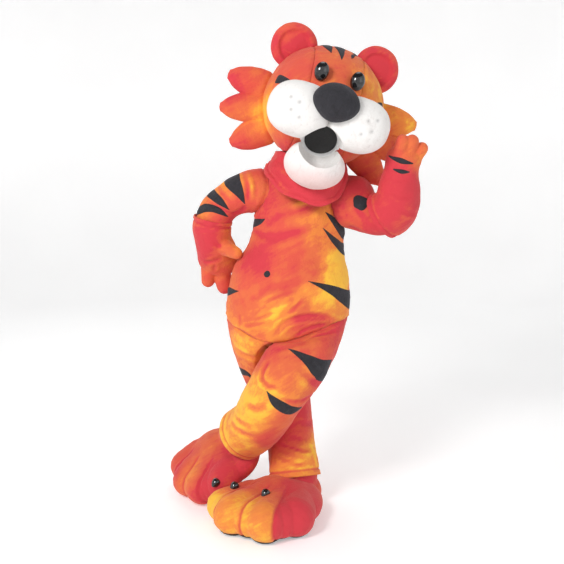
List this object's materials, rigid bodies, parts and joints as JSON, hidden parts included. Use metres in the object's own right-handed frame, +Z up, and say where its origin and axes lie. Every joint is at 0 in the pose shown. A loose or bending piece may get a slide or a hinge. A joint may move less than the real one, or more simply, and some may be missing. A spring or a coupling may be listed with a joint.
{
  "type": "tiger mascot costume",
  "caption": "Orange, red and yellow plush tiger costume with a foam head, gloves and paw boots, filled out and standing with its legs crossed, a hand on its hip and a hand raised.",
  "frame": {"origin": "inside the collar, midway between the wearer's shoulders, where the wearer carries the suit", "axes": "+Z up, the costume faces -Y, and its own left side is +X"},
  "size_m": [0.9951, 0.6676, 1.8843],
  "materials": {
    "orange_plush": "orange velour plush, dyed in red and yellow patches",
    "red_plush": "red velour plush",
    "black_plush": "black plush",
    "white_plush": "white plush",
    "black_mesh": "black see-through mesh",
    "gloss_black": "glossy black plastic",
    "sole_rubber": "black foam rubber"
  },
  "bodies": {
    "root": {"arm_patch": "black_plush", "arm_stripe_1": "black_plush", "arm_stripe_2": "black_plush", "arm_stripe_3": "black_plush", "body_back_left": "orange_plush", "body_back_right": "orange_plush", "body_front": "orange_plush", "boot_left": "orange_plush", "boot_right": "orange_plush", "brow_stripe_left": "black_plush", "brow_stripe_middle": "black_plush", "brow_stripe_right": "black_plush", "calf_stripe": "black_plush", "cheek_stripe_left": "black_plush", "cheek_stripe_right": "black_plush", "claw_left_1": "gloss_black", "claw_right_1": "gloss_black", "claw_right_2": "gloss_black", "ear_left": "orange_plush", "ear_right": "orange_plush", "eye_left": "gloss_black", "eye_right": "gloss_black", "glove_left": "red_plush", "glove_right": "orange_plush", "head_gusset": "orange_plush", "head_side_left": "orange_plush", "head_side_right": "orange_plush", "jaw": "white_plush", "leg_left": "orange_plush", "leg_right": "orange_plush", "mouth_mesh": "black_mesh", "muzzle_left": "white_plush", "muzzle_right": "white_plush", "navel": "black_plush", "neck_bib": "red_plush", "nose": "black_plush", "shin_stripe": "black_plush", "sleeve_left": "orange_plush", "sleeve_right": "orange_plush", "sole_left": "sole_rubber", "sole_right": "sole_rubber", "stripe_left_1": "black_plush", "stripe_left_2": "black_plush", "stripe_left_3": "black_plush", "stripe_right_1": "black_plush", "stripe_right_2": "black_plush", "thigh_stripe": "black_plush", "tuft_left_1": "orange_plush", "tuft_left_2": "orange_plush", "tuft_left_3": "orange_plush", "tuft_right_1": "orange_plush", "tuft_right_2": "orange_plush", "tuft_right_3": "orange_plush", "wrist_stripe_1": "black_plush", "wrist_stripe_2": "black_plush"}
  },
  "joints": []
}
